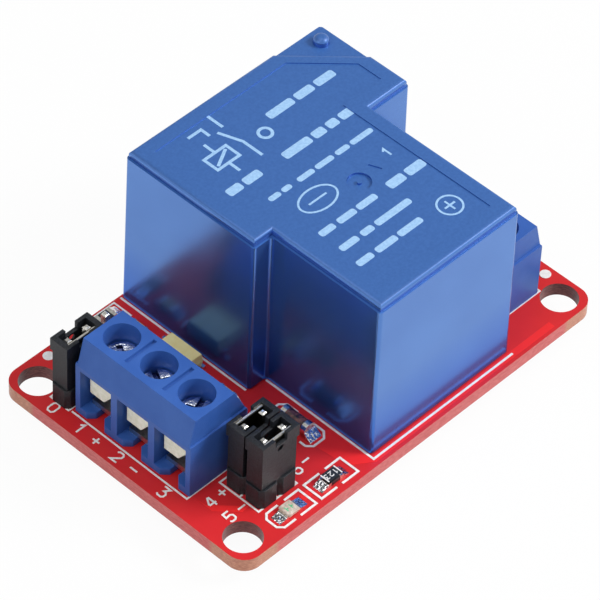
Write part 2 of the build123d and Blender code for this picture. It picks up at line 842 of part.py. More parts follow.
def moulded_package(x, y, size):
    """Moulded block with drafted sides above and below its parting line."""
    middle = size[2] / 2
    waist = Rectangle(size[0], size[1])
    face = Rectangle(size[0] - 2 * package_draft, size[1] - 2 * package_draft)
    lower = loft([Pos(0, 0, package_standoff) * face, Pos(0, 0, middle) * waist])
    upper = loft([Pos(0, 0, middle) * waist, Pos(0, 0, size[2]) * face])
    return Pos(x, y, top) * (lower + upper)


def package_lead(x, y, size, reach, foot, angle):
    """Bent lead from the end of a package down to the board, turned to the side it leaves from."""
    body = size[1] / 2 if angle in (90, 270) else size[0] / 2
    middle = size[2] / 2
    bend = body + reach - foot
    points = [
        (body, middle - lead_thickness / 2),
        (body, middle + lead_thickness / 2),
        (bend + lead_thickness, middle + lead_thickness / 2),
        (bend + lead_thickness, lead_thickness),
        (body + reach, lead_thickness),
        (body + reach, 0),
        (bend, 0),
        (bend, middle - lead_thickness / 2),
    ]
    lead = side_profile(points, -lead_width / 2, lead_width / 2)
    return Pos(x, y, top) * Rot(0, 0, angle) * lead


def led_base(x, y):
    """Ceramic foot of the indicator light."""
    length = chip_length - 2 * end_cap_length
    return Pos(x, y, top + led_base_height / 2) * Box(length, chip_width, led_base_height)


def led_lens(x, y):
    """Clear cap of the indicator light."""
    length = chip_length - 2 * led_lens_margin
    lens = Pos(x, y, top + led_base_height + led_lens_height / 2) * Box(length, led_width, led_lens_height)
    return chamfer(lens.edges().filter_by(Axis.Y).sort_by(Axis.Z)[-2:], led_lens_chamfer)


def flyback_diode(x, y):
    """Glass tube lying along Y."""
    glass = Cylinder(diode_d / 2, diode_length - 2 * diode_cap_length)
    return Pos(x, y, top + diode_cap_d / 2) * Rot(90, 0, 0) * glass


def flyback_diode_caps(x, y):
    """Metal caps at the ends of the glass tube."""
    caps = []
    for sign in (-1, 1):
        shift = sign * (diode_length - diode_cap_length) / 2
        cap = Cylinder(diode_cap_d / 2, diode_cap_length)
        caps.append(Pos(x, y + shift, top + diode_cap_d / 2) * Rot(90, 0, 0) * cap)
    return caps


def in_strip(place):
    """Place given from the relay's near face and the board's front edge."""
    return relay_x0 - place[0], place[1]


def in_back_strip(place):
    """Place given from the relay's near face and the board's back edge."""
    return relay_x0 - place[0], board_width - place[1]


def write_board():
    """Board, solder and relay."""
    save(circuit_board(), "circuit_board")
    save_group(solder_joints(), "solder_joints")
    save(relay_cover(), "relay_cover")
    save(relay_base(), "relay_base")
    save(coil_bobbin(), "coil_bobbin")
    save(coil_winding(), "coil_winding")
    save(coil_core(), "coil_core")
    save(yoke(), "yoke")
    save(armature(), "armature")
    save(contact_spring(), "contact_spring")
    save(common_terminal(), "common_terminal")
    save(open_terminal(), "open_terminal")
    save(closed_terminal(), "closed_terminal")
    save_group(coil_pins(), "coil_pins")


def write_terminals():
    """Both terminal blocks."""
    for name, place in (("input", input_place), ("output", output_place)):
        save(place * terminal_housing(), f"{name}_terminal_housing")
        save_group([place * terminal_contact(offset) for offset in pole_offsets()], f"{name}_contacts")
        for i, offset in enumerate(pole_offsets()):
            save(place * terminal_clamp(offset), f"{name}_clamp_{i + 1}")
            save(place * terminal_screw(offset, screw_angles[i % 3]), f"{name}_screw_{i + 1}")


def write_headers():
    """Both headers with their shunts."""
    trigger = trigger_places()
    setting = setting_places()
    save(header_cells(trigger), "trigger_header_body")
    save_group([header_pin(x, y) for x, y in trigger], "trigger_header_pins")
    save(header_cells(setting), "setting_header_body")
    save_group([header_pin(x, y) for x, y in setting], "setting_header_pins")
    trigger_middle = trigger[0][0] + pin_pitch / 2
    save(shunt_cap(trigger_middle, trigger_y), "trigger_shunt_cap")
    save(shunt_clip(trigger_middle, trigger_y, -1), "trigger_shunt_clip")
    setting_middle = setting_edge_gap + pin_pitch
    for i, side in enumerate((1, -1)):
        y = setting_y + side * pin_pitch / 2
        save(shunt_cap(setting_middle, y), f"setting_shunt_cap_{i + 1}")
        save(shunt_clip(setting_middle, y, side), f"setting_shunt_clip_{i + 1}")


def write_chips():
    """Surface-mounted parts and their solder."""
    ends = []
    fillets = []
    chips = [
        ("led_resistor", led_resistor_pos, False, resistor_height),
        ("input_resistor", in_back_strip(input_resistor_pos), False, resistor_height),
        ("base_resistor", in_strip(base_resistor_pos), True, resistor_height),
        ("filter_capacitor_1", in_back_strip(capacitor_1_pos), True, capacitor_height),
        ("filter_capacitor_2", in_strip(capacitor_2_pos), True, capacitor_height),
    ]
    for name, (x, y), turned, height in chips:
        save(chip_body(x, y, turned, height), name)
        ends += chip_ends(x, y, turned, height)
        fillets += chip_fillets(x, y, turned, chip_length, chip_width, height - fillet_drop)
    save(led_base(*led_pos), "status_led_base")
    save(led_lens(*led_pos), "status_led_lens")
    ends += chip_ends(*led_pos, False, led_base_height)
    fillets += chip_fillets(*led_pos, False, chip_length, chip_width, led_base_height - fillet_drop)
    diode_x = relay_front_face - diode_pos[0]
    save(flyback_diode(diode_x, diode_pos[1]), "flyback_diode")
    save_group(flyback_diode_caps(diode_x, diode_pos[1]), "flyback_diode_caps")
    fillets += chip_fillets(diode_x, diode_pos[1], True, diode_length, diode_cap_d, diode_solder_rise)
    save_group(ends, "chip_end_caps")
    save_group(fillets, "chip_solder")
    x, y = in_strip(optocoupler_pos)
    save(moulded_package(x, y, opto_size), "optocoupler")
    leads = []
    for shift in (-opto_lead_pitch / 2, opto_lead_pitch / 2):
        for angle in (90, 270):
            leads.append(package_lead(x + shift, y, opto_size, lead_reach, lead_foot, angle))
    save_group(leads, "optocoupler_leads")
    x, y = in_strip(transistor_pos)
    save(moulded_package(x, y, transistor_size), "drive_transistor")
    reach, foot = transistor_lead_reach, transistor_lead_foot
    leads = [package_lead(x, y, transistor_size, reach, foot, 180)]
    for shift in (-transistor_lead_pitch / 2, transistor_lead_pitch / 2):
        leads.append(package_lead(x, y + shift, transistor_size, reach, foot, 0))
    save_group(leads, "drive_transistor_leads")


write_board()
write_terminals()
write_headers()
write_chips()
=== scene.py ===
import json
import math

import bmesh
import bpy
from mathutils import Matrix, Vector


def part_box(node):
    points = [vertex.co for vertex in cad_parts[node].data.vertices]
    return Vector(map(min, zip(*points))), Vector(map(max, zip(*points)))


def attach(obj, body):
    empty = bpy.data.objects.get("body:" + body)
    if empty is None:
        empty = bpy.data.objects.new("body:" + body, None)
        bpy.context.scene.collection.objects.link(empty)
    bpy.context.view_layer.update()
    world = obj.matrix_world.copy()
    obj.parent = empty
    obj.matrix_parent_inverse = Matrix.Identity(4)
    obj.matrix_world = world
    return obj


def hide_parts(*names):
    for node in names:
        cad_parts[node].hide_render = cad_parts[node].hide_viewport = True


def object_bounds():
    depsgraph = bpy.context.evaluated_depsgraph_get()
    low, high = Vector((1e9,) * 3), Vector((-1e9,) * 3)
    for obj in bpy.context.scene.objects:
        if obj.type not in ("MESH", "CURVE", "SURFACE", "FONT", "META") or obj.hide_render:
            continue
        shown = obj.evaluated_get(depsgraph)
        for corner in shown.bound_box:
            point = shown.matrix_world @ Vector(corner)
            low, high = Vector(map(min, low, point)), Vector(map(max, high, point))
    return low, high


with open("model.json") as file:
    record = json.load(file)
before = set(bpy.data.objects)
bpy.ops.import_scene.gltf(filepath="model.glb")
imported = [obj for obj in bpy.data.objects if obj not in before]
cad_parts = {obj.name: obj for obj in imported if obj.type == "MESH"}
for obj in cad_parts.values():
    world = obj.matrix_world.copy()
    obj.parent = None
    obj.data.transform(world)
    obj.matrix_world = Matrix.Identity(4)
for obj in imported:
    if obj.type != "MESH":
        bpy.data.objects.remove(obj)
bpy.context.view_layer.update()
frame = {"nodes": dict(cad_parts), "record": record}


# Circuit board: one 1.6 mm plate of glass fibre and epoxy, routed to its outline and drilled.
# Both faces are flooded with glossy red solder mask; the routed edge and the hole walls show
# the bare laminate, pink where mask ran over it and tan at the corners; in the holes it carries painted
# shade.
mm = 0.001


def srgb(code):
    """Linear colour of an sRGB hex value."""
    parts = [int(code[i:i + 2], 16) / 255 for i in (1, 3, 5)]
    return (*[c / 12.92 if c <= 0.04045 else ((c + 0.055) / 1.055) ** 2.4 for c in parts], 1.0)


def add(tree, kind, values=None, links=None, **settings):
    """Adds a node with its settings, the values on its sockets and the links into them."""
    made = tree.nodes.new(kind)
    for key, value in settings.items():
        setattr(made, key, value)
    for key, value in (values or {}).items():
        made.inputs[key].default_value = value
    for key, source in (links or {}).items():
        tree.links.new(source, made.inputs[key])
    return made


def new_material(name, roughness, metallic=0.0):
    """Material with its shader set to a finish, and the node that gives a point on the piece."""
    made = bpy.data.materials.new(name)
    made.use_nodes = True
    tree = made.node_tree
    shader = tree.nodes["Principled BSDF"]
    shader.inputs["Roughness"].default_value = roughness
    shader.inputs["Metallic"].default_value = metallic
    return made, tree, shader, add(tree, "ShaderNodeTexCoord")


def mottle(tree, point, size, first, second, stretch=(1, 1, 1)):
    """Colour that wanders between two, in patches of a real size."""
    place = add(tree, "ShaderNodeMapping", {"Scale": stretch}, {"Vector": point.outputs["Object"]})
    noise = add(tree, "ShaderNodeTexNoise", {"Scale": 1 / size, "Detail": 4.0},
                {"Vector": place.outputs["Vector"]})
    spread = add(tree, "ShaderNodeMapRange", {"From Min": 0.35, "From Max": 0.65},
                 {"Value": noise.outputs["Fac"]})
    blend = add(tree, "ShaderNodeMix", {6: srgb(first), 7: srgb(second)},
                {0: spread.outputs["Result"]}, data_type="RGBA")
    return blend.outputs[2]


def grain(tree, shader, point, size, depth):
    """Fine relief of a real grain size and depth."""
    noise = add(tree, "ShaderNodeTexNoise", {"Scale": 1 / size, "Detail": 2.0},
                {"Vector": point.outputs["Object"]})
    bump = add(tree, "ShaderNodeBump", {"Distance": depth, "Strength": 1.0},
               {"Height": noise.outputs["Fac"]})
    tree.links.new(bump.outputs["Normal"], shader.inputs["Normal"])


def coat(material, *names):
    """Gives CAD pieces their material."""
    for name in names:
        for held in frame["nodes"][name].material_slots:
            held.material = material


# Epoxy solder mask, curtain-coated over etched laminate: a glossy, even red that is duller where no
# copper lies under it. The routed edge shows strands of glass fibre in pink and tan resin.
board, tree, shader, point = new_material("solder_mask_on_glass_fibre", 0.36)
shader.inputs["IOR"].default_value = 1.3
mask_colour = mottle(tree, point, 6 * mm, "#C6262A", "#D0292D")
laminate = mottle(tree, point, 0.5 * mm, "#BE5453", "#D27270", stretch=(1, 1, 5))
bare = mottle(tree, point, 0.4 * mm, "#B0735F", "#CE957C", stretch=(1, 1, 5))
# Painted shade: the laminate of the hole walls is coloured darker inside the holes.
hole_wall_shade = mottle(tree, point, 0.4 * mm, "#5A3034", "#8A5450", stretch=(1, 1, 5))
hole_x, hole_y = 22.7 * mm, 14.1 * mm
hole_reach = 2.3 * mm
corner_x, corner_y = 20.4 * mm, 12.0 * mm
corner_blend = 0.6 * mm
across = add(tree, "ShaderNodeSeparateXYZ", links={0: point.outputs["Object"]})
corner_parts = []
for axis, start in (("X", corner_x), ("Y", corner_y)):
    size = add(tree, "ShaderNodeMath", links={0: across.outputs[axis]}, operation="ABSOLUTE")
    reached = add(tree, "ShaderNodeMapRange", {"From Min": start, "From Max": start + corner_blend},
                  {"Value": size.outputs[0]})
    corner_parts.append(reached.outputs[0])
in_corner = add(tree, "ShaderNodeMath", links={0: corner_parts[0], 1: corner_parts[1]},
                operation="MULTIPLY")
edge_colour = add(tree, "ShaderNodeMix", links={0: in_corner.outputs[0], 6: laminate, 7: bare},
                  data_type="RGBA")
quarter = add(tree, "ShaderNodeVectorMath", links={0: point.outputs["Object"]}, operation="ABSOLUTE")
flat = add(tree, "ShaderNodeVectorMath", {1: (1, 1, 0)}, {0: quarter.outputs[0]}, operation="MULTIPLY")
from_hole = add(tree, "ShaderNodeVectorMath", {1: (hole_x, hole_y, 0)}, {0: flat.outputs[0]},
                operation="DISTANCE")
in_hole = add(tree, "ShaderNodeMath", {1: hole_reach}, {0: from_hole.outputs["Value"]},
              operation="LESS_THAN")
edge_colour = add(tree, "ShaderNodeMix",
                  links={0: in_hole.outputs[0], 6: edge_colour.outputs[2], 7: hole_wall_shade}, data_type="RGBA")
facing = add(tree, "ShaderNodeSeparateXYZ", links={0: point.outputs["Normal"]})
upright = add(tree, "ShaderNodeMath", links={0: facing.outputs["Z"]}, operation="ABSOLUTE")
on_face = add(tree, "ShaderNodeMath", {1: 0.5}, {0: upright.outputs[0]}, operation="GREATER_THAN")
surface = add(tree, "ShaderNodeMix",
              links={0: on_face.outputs[0], 6: edge_colour.outputs[2], 7: mask_colour}, data_type="RGBA")
tree.links.new(surface.outputs[2], shader.inputs["Base Color"])
grain(tree, shader, point, 0.35 * mm, 0.004 * mm)
coat(board, "circuit_board")


# Copper under the mask: pours and tracks 35 microns thick, etched from foil before the mask.
# They lift the mask a little and make it a brighter red than the bare laminate beside them.
board_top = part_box("circuit_board")[1][2]
copper_lift = 0.02 * mm


def body_of(node):
    """Name of the body that a CAD piece belongs to."""
    for body, nodes in frame["record"]["behaviour"]["bodies"].items():
        if node in nodes:
            return body


def make_piece(name, bm, material, body):
    """Turns a finished bmesh into a piece that rides on a body."""
    mesh = bpy.data.meshes.new(name)
    bm.to_mesh(mesh)
    bm.free()
    mesh.materials.append(material)
    made = bpy.data.objects.new(name, mesh)
    bpy.context.scene.collection.objects.link(made)
    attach(made, body)
    return made


def flat_areas(name, outlines, low, thickness, material, rounding=0):
    """Thin flat areas, each raised from its outline in millimetres, with corners rounded if asked."""
    bm = bmesh.new()
    for outline in outlines:
        corners = [bm.verts.new((x * mm, y * mm, low)) for x, y in outline]
        face = bm.faces.new(corners)
        top = bmesh.ops.extrude_face_region(bm, geom=[face])["geom"]
        raised = [v for v in top if isinstance(v, bmesh.types.BMVert)]
        bmesh.ops.translate(bm, verts=raised, vec=(0, 0, thickness))
    if rounding:
        upright = [e for e in bm.edges if abs(e.verts[0].co.z - e.verts[1].co.z) > thickness / 2]
        bmesh.ops.bevel(bm, geom=upright, offset=rounding * mm, offset_type="OFFSET", segments=4,
                        profile=0.5, affect="EDGES", material=-1)
    bmesh.ops.recalc_face_normals(bm, faces=bm.faces)
    make_piece(name, bm, material, "board")


# The same mask over bright copper foil, which throws the light back and makes the red clearer.
copper_mask, tree, shader, point = new_material("solder_mask_over_copper", 0.34)
shader.inputs["IOR"].default_value = 1.3
tree.links.new(mottle(tree, point, 5 * mm, "#E0282A", "#E82D2F"), shader.inputs["Base Color"])
grain(tree, shader, point, 0.35 * mm, 0.004 * mm)
wedge = [(-22.5, -7.3), (-22.4, -8.8), (-19.5, -11.8), (-20.5, -11.85), (-22.5, -9.74)]
relay_pour = [(-9.49, -10.19), (-9.17, -13.14), (-8.68, -14.94), (-6.62, -16.4), (19.4, -16.4),
              (19.4, -15.6), (-6.5, -15.6), (-6.5, -10.19)]
led_track = [(-15.2, -15.0), (-13.9, -15.0), (-13.9, -14.2), (-15.2, -14.2)]
copper_outlines = [wedge, relay_pour, led_track]
flat_areas("copper_pours", copper_outlines, board_top, copper_lift, copper_mask)


# Legend: white epoxy ink screened on the mask, about 30 microns thick, with pens of 0.19 and 0.24 mm.
# It outlines the relay, the terminals, the headers and the chips, and numbers the terminals.
legend_low = board_top + copper_lift
legend_thickness = 0.03 * mm
fine_pen, heavy_pen = 0.19, 0.24
number_height = 1.25
dot_radius = 0.6 * mm
stroke_step = 0.004 * mm
digit_strokes = {
    "1": [[(0.1, 0.75), (0.4, 1.0), (0.4, 0.0)]],
    "2": [[(0.0, 0.85), (0.15, 1.0), (0.5, 1.0), (0.65, 0.85), (0.65, 0.6), (0.0, 0.0), (0.68, 0.0)]],
    "3": [[(0.0, 1.0), (0.62, 1.0), (0.3, 0.58), (0.5, 0.58), (0.65, 0.4), (0.65, 0.15), (0.5, 0.0),
           (0.15, 0.0), (0.0, 0.12)]],
    "4": [[(0.5, 0.0), (0.5, 1.0)], [(0.42, 1.0), (0.0, 0.36)], [(0.0, 0.3), (0.68, 0.3)]],
    "5": [[(0.6, 1.0), (0.05, 1.0), (0.0, 0.55), (0.45, 0.6), (0.62, 0.45), (0.62, 0.15), (0.45, 0.0),
           (0.12, 0.0), (0.0, 0.12)]],
    "6": [[(0.5, 1.0), (0.1, 0.6), (0.0, 0.3), (0.05, 0.1), (0.2, 0.0), (0.48, 0.0), (0.62, 0.15),
           (0.62, 0.4), (0.48, 0.55), (0.2, 0.55), (0.02, 0.4)]],
    "0": [[(0.15, 0.0), (0.5, 0.0), (0.65, 0.2), (0.65, 0.8), (0.5, 1.0), (0.15, 1.0), (0.0, 0.8),
           (0.0, 0.2), (0.15, 0.0)]],
    "+": [[(0.0, 0.5), (0.7, 0.5)], [(0.35, 0.15), (0.35, 0.85)]],
    "-": [[(0.0, 0.5), (0.75, 0.5)]],
}


def draw_lines(name, paths, pen, low, thickness, material):
    """Printed lines: each path becomes a low wall, which Solidify makes as wide as the pen.

    The ink builds up where strokes cross, so each is a few microns higher than the one before."""
    bm = bmesh.new()
    for i, path in enumerate(paths):
        closed = path[0] == path[-1]
        points = path[:-1] if closed else path
        corners = [bm.verts.new((x * mm, y * mm, low)) for x, y in points]
        pairs = list(zip(corners, corners[1:]))
        if closed:
            pairs.append((corners[-1], corners[0]))
        edges = [bm.edges.new(pair) for pair in pairs]
        wall = bmesh.ops.extrude_edge_only(bm, edges=edges)["geom"]
        raised = [v for v in wall if isinstance(v, bmesh.types.BMVert)]
        bmesh.ops.translate(bm, verts=raised, vec=(0, 0, thickness + i % 4 * stroke_step))
    bmesh.ops.recalc_face_normals(bm, faces=bm.faces)
    made = make_piece(name, bm, material, "board")
    widen = made.modifiers.new("pen", "SOLIDIFY")
    widen.thickness = pen * mm
    widen.offset = 0
    widen.use_even_offset = True


def write_digits(text, start, along, height):
    """Paths of plain digits and signs from a start point, read along a direction."""
    across = (-along[1], along[0])
    step = 1.05 * height
    paths = []
    for i, sign in enumerate(text):
        for stroke in digit_strokes[sign]:
            path = []
            for u, v in stroke:
                u, v = u * height + i * step, v * height
                path.append((start[0] + u * along[0] + v * across[0],
                             start[1] + u * along[1] + v * across[1]))
            paths.append(path)
    return paths


# Screened epoxy ink: flat white with the faint weave of the screen, and no gloss of its own.
legend_ink, tree, shader, point = new_material("white_screened_epoxy_ink", 0.5)
tree.links.new(mottle(tree, point, 0.3 * mm, "#DEDCDA", "#F0EEEE"), shader.inputs["Base Color"])
grain(tree, shader, point, 0.15 * mm, 0.003 * mm)
terminal_box = [(-23.15, 8.85), (-23.15, -7.0), (-14.9, -7.0)]
header_box = [(-16.0, 11.7), (-23.3, 11.7), (-23.3, 9.15), (-22.4, 9.15)]
relay_lines = [[(-8.99, 16.55), (-8.99, -1.0)], [(-6.57, -1.4), (-6.57, -15.97), (13.55, -15.97)]]
output_box = [(13.95, -12.1), (21.95, -12.1), (21.95, 3.9), (14.3, 3.9)]
setting_box = [(-19.4, -7.7), (-19.4, -12.95), (-14.15, -12.95), (-14.15, -7.7), (-19.4, -7.7)]
setting_ticks = [[(-19.4, -10.33), (-18.95, -10.33)], [(-16.8, -12.95), (-16.8, -12.5)]]
resistor_box = [[(-10.88, -13.57), (-8.8, -13.57), (-8.8, -16.02), (-11.0, -16.02)],
                [(-11.72, -13.6), (-13.87, -13.6), (-13.87, -16.0), (-11.74, -16.0)]]
led_box = [[(-16.6, -13.62), (-14.65, -13.62), (-14.65, -16.05), (-16.8, -16.05)],
           [(-17.5, -13.62), (-19.02, -13.62), (-19.56, -14.15), (-19.56, -15.5), (-19.02, -16.05),
            (-17.5, -16.05)]]
diode_box = [[(-7.42, -8.65), (-7.42, -10.1), (-8.1, -10.77), (-9.55, -10.77), (-10.1, -10.2),
              (-10.1, -9.4)],
             [(-7.42, -6.6), (-7.42, -5.15), (-8.05, -4.55), (-9.4, -4.55)]]
chip_box = [(-9.95, 14.0), (-9.95, 16.5), (-13.6, 16.5), (-13.6, 15.6)]
fine_lines = [terminal_box, header_box, output_box, setting_box, chip_box] + setting_ticks
heavy_lines = relay_lines + resistor_box + led_box + diode_box
labels = [("1", (-24.75, 7.1), (0, -1)), ("+", (-24.8, 4.85), (0, -1)), ("2", (-24.75, 1.9), (0, -1)),
          ("-", (-24.8, -0.3), (0, -1)), ("3", (-24.75, -4.4), (0, -1)), ("0", (-24.7, 10.85), (0, -1)),
          ("4", (-22.2, -9.5), (1, 0)), ("+", (-20.6, -9.4), (1, 0)), ("5", (-22.2, -12.05), (1, 0)),
          ("-", (-20.6, -12.0), (1, 0)), ("6", (-13.3, -12.3), (1, 0)), ("-", (-11.9, -12.1), (1, 0))]
for text, start, along in labels:
    fine_lines += write_digits(text, start, along, number_height)
draw_lines("legend_fine_lines", fine_lines, fine_pen, legend_low, legend_thickness, legend_ink)
draw_lines("legend_heavy_lines", heavy_lines, heavy_pen, legend_low, legend_thickness, legend_ink)
bm = bmesh.new()
for x, y in ((-19.65, 15.8), (24.15, -10.9)):
    place = Matrix.Translation((x * mm, y * mm, legend_low + legend_thickness / 2))
    bmesh.ops.create_cone(bm, cap_ends=True, segments=32, radius1=dot_radius, radius2=dot_radius,
                          depth=legend_thickness, matrix=place)
make_piece("legend_dots", bm, legend_ink, "board")


# Solder: tin alloy, run by wave on the tails under the board and by reflow at the ends of the chips.
# It wets upwards in shiny fillets with a slightly wrinkled skin.

# Frozen solder: a mirror with shallow wrinkles, so each fillet breaks into white glints and dark spots.
solder, tree, shader, point = new_material("reflowed_tin_solder", 0.18, metallic=1.0)
tree.links.new(mottle(tree, point, 0.25 * mm, "#C9CACE", "#FAFAFA"), shader.inputs["Base Color"])
grain(tree, shader, point, 0.36 * mm, 0.14 * mm)
coat(solder, "solder_joints", "chip_solder")


# Relay base: black thermoset plate that closes the cover; only its rim shows, as a dark line on the
# board. It is moulded, matt, and sealed to the cover with resin.

# Phenolic moulding with a dull, slightly mottled face: it reads as a plain dark line.
base_plastic, tree, shader, point = new_material("moulded_phenolic", 0.6)
tree.links.new(mottle(tree, point, 1.5 * mm, "#15171C", "#20232A"), shader.inputs["Base Color"])
grain(tree, shader, point, 0.2 * mm, 0.01 * mm)
coat(base_plastic, "relay_base")


# Relay mechanism, sealed in the cover: coil on its bobbin, iron core, yoke and armature, and bronze
# contact strips. The iron is plated, the wire enamelled copper, the bobbin glass-filled nylon.

# Zinc plate on stamped iron: a cool, soft metal shine with cloudy patches.
iron, tree, shader, point = new_material("zinc_plated_iron", 0.35, metallic=1.0)
tree.links.new(mottle(tree, point, 2 * mm, "#9C9EA2", "#B8BABE"), shader.inputs["Base Color"])
coat(iron, "coil_core", "yoke", "armature")
# Cold-rolled strip, punched and bent: warm metal with a smooth, even sheen.
bronze, tree, shader, point = new_material("rolled_contact_bronze", 0.3, metallic=1.0)
tree.links.new(mottle(tree, point, 1 * mm, "#B98B5C", "#CFA277"), shader.inputs["Base Color"])
coat(bronze, "contact_spring", "common_terminal", "open_terminal", "closed_terminal")
# Varnished copper wire laid turn beside turn: fine bright and dark bands round the coil, one to a
# turn. The bands of a wave texture of scale 1 lie a tenth of pi apart.
enamel, tree, shader, point = new_material("enamelled_copper_wire", 0.25, metallic=0.9)
wire_d = 0.2 * mm
band_spacing = math.pi / 10
turns = add(tree, "ShaderNodeTexWave", {"Scale": band_spacing / wire_d, "Distortion": 0.4},
            {"Vector": point.outputs["Object"]}, bands_direction="Z")
tone = add(tree, "ShaderNodeMix", {6: srgb("#6E2F14"), 7: srgb("#C4683A")}, {0: turns.outputs["Fac"]},
           data_type="RGBA")
tree.links.new(tone.outputs[2], shader.inputs["Base Color"])
coat(enamel, "coil_winding")
# Moulded nylon with glass flecks: pale, waxy and dull.
nylon, tree, shader, point = new_material("glass_filled_nylon", 0.5)
tree.links.new(mottle(tree, point, 1 * mm, "#D8D2BE", "#E4DFCE"), shader.inputs["Base Color"])
coat(nylon, "coil_bobbin")


# Relay cover: one injection moulding in blue PBT, glossy and drafted at the sides, finely textured on
# the lid. The lid is stepped in from the shoulder and carries a shallow panel for the print.
def sharp_edges(bm, angle, narrowest):
    """Edges that turn by more than an angle, between faces that leave room for a rounding."""
    return [e for e in bm.edges
            if e.is_manifold and e.calc_face_angle() > math.radians(angle)
            and min(2 * f.calc_area() / f.calc_perimeter() for f in e.link_faces) > narrowest]


same_point = 0.0005 * mm
same_plane, sharp_angle = 0.6, 25
wide_face = 3 * mm ** 2
wide_turn, narrow_turn = 4, 40


def softened(node, radius, material):
    """Copy of a CAD piece with its sharp edges rounded as its mould or die leaves them.

    Wide flat faces stay flat in the light: only slight turns beside them are shaded as one."""
    bm = bmesh.new()
    bm.from_mesh(frame["nodes"][node].data)
    bmesh.ops.remove_doubles(bm, verts=bm.verts, dist=same_point)
    bmesh.ops.dissolve_limit(bm, angle_limit=math.radians(same_plane), verts=bm.verts, edges=bm.edges)
    bmesh.ops.bevel(bm, geom=sharp_edges(bm, sharp_angle, radius), offset=radius, offset_type="OFFSET",
                    segments=2, profile=0.5, affect="EDGES", clamp_overlap=True, material=-1)
    for face in bm.faces:
        face.smooth = True
    for edge in bm.edges:
        turn = edge.calc_face_angle(math.pi)
        beside_wide = any(f.calc_area() > wide_face for f in edge.link_faces)
        edge.smooth = turn < math.radians(wide_turn if beside_wide else narrow_turn)
    made = make_piece(node + "_finished", bm, material, body_of(node))
    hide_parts(node)


# PBT from a polished mould: the deep blue sides mirror what stands round them, tinted by the pigment, so
# they are near black towards the board and pale towards the floor. On top of that the walls carry painted
# shade and light: their colour is darker near the board and lighter towards the lid. The lid comes from a
# spark-eroded face of the mould and is finely matt, with a grain of 0.15 mm drawn as coarse as 0.3 mm to
# show.
wall_gloss, lid_gloss = 0.22, 0.42
dark_level, pale_level = 1 * mm, 10 * mm
relay_plastic, tree, shader, point = new_material("glossy_blue_pbt", wall_gloss)
facing = add(tree, "ShaderNodeSeparateXYZ", links={0: point.outputs["Normal"]})
faces_up = add(tree, "ShaderNodeMapRange", {"From Min": 0.3, "From Max": 0.8},
               {"Value": facing.outputs["Z"]})
gloss = add(tree, "ShaderNodeMapRange", {"To Min": wall_gloss, "To Max": lid_gloss},
            {"Value": faces_up.outputs[0]})
sheen = add(tree, "ShaderNodeMapRange", {"To Min": 0.78, "To Max": 0.1}, {"Value": faces_up.outputs[0]})
# Painted shade and light: the wall colour runs from darker near the board to lighter towards the lid.
rising = add(tree, "ShaderNodeSeparateXYZ", links={0: point.outputs["Object"]})
level = add(tree, "ShaderNodeMapRange", {"From Min": dark_level, "From Max": pale_level},
            {"Value": rising.outputs["Z"]})
wall_shade_colour = mottle(tree, point, 8 * mm, "#225EC2", "#2864C8")
wall_light_colour = mottle(tree, point, 8 * mm, "#5580C6", "#5A86CC")
painted_wall_shading = add(tree, "ShaderNodeMix", links={0: level.outputs[0], 6: wall_shade_colour, 7: wall_light_colour},
            data_type="RGBA")
lid_colour = mottle(tree, point, 0.3 * mm, "#305C9E", "#3663A6")
tone = add(tree, "ShaderNodeMix", links={0: faces_up.outputs[0], 6: painted_wall_shading.outputs[2], 7: lid_colour},
           data_type="RGBA")
tree.links.new(gloss.outputs[0], shader.inputs["Roughness"])
tree.links.new(sheen.outputs[0], shader.inputs["Metallic"])
tree.links.new(tone.outputs[2], shader.inputs["Base Color"])
grain(tree, shader, point, 0.8 * mm, 0.004 * mm)
softened("relay_cover", 0.12 * mm, relay_plastic)


# Lid print: pale blue pad-printed ink, about 10 microns thick, on the sunk panel of the lid.
# It holds a plain contact diagram, rounded bars in place of words, and the pin number 1.
panel_depth = 0.1 * mm
lid_print_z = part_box("relay_cover")[1][2] - panel_depth
print_thickness = 0.012 * mm
bar_rounding = 0.28
diagram_pen, sign_pen = 0.34, 0.22
pin_number_height = 1.1
# Pad ink: an even, slightly chalky pale blue with soft edges.
print_ink, tree, shader, point = new_material("pale_blue_pad_ink", 0.5)
tree.links.new(mottle(tree, point, 0.25 * mm, "#8CB3DC", "#9CC2E6"), shader.inputs["Base Color"])


def bars(y0, y1, *spans):
    """Outlines of the bars of one line of print."""
    return [[(x0, y0), (x1, y0), (x1, y1), (x0, y1)] for x0, x1 in spans]


words = (
    bars(9.75, 10.75, (4.8, 8.3), (8.7, 11.1), (11.5, 14.1))
    + bars(4.9, 5.95, (-5.65, -3.8), (-3.4, -1.2))
    + bars(4.75, 5.8, (1.9, 5.6), (6.0, 7.6), (8.0, 9.4), (9.8, 11.7))
    + bars(1.75, 2.4, (-3.4, -1.9), (-1.6, -0.4))
    + bars(1.7, 2.35, (0.5, 2.7), (3.0, 5.4), (5.8, 7.6), (7.9, 10.9))
    + bars(-4.95, -4.15, (-3.3, -1.3), (-0.8, 1.6), (1.9, 4.5))
    + bars(-7.65, -6.85, (-3.3, -0.9), (-0.4, 1.2), (1.6, 6.4))
    + bars(-10.15, -9.35, (-3.6, -1.5), (-1.0, 1.8), (2.1, 5.3))
    + bars(-5.1, -4.0, (6.2, 8.4), (8.8, 11.2))
)
flat_areas("lid_print_bars", words, lid_print_z, print_thickness, print_ink,
           rounding=bar_rounding)


def ring(x, y, rx, ry, count=40):
    """Closed path of an ellipse."""
    path = [(x + rx * math.cos(2 * math.pi * i / count), y + ry * math.sin(2 * math.pi * i / count))
            for i in range(count)]
    return path + [path[0]]


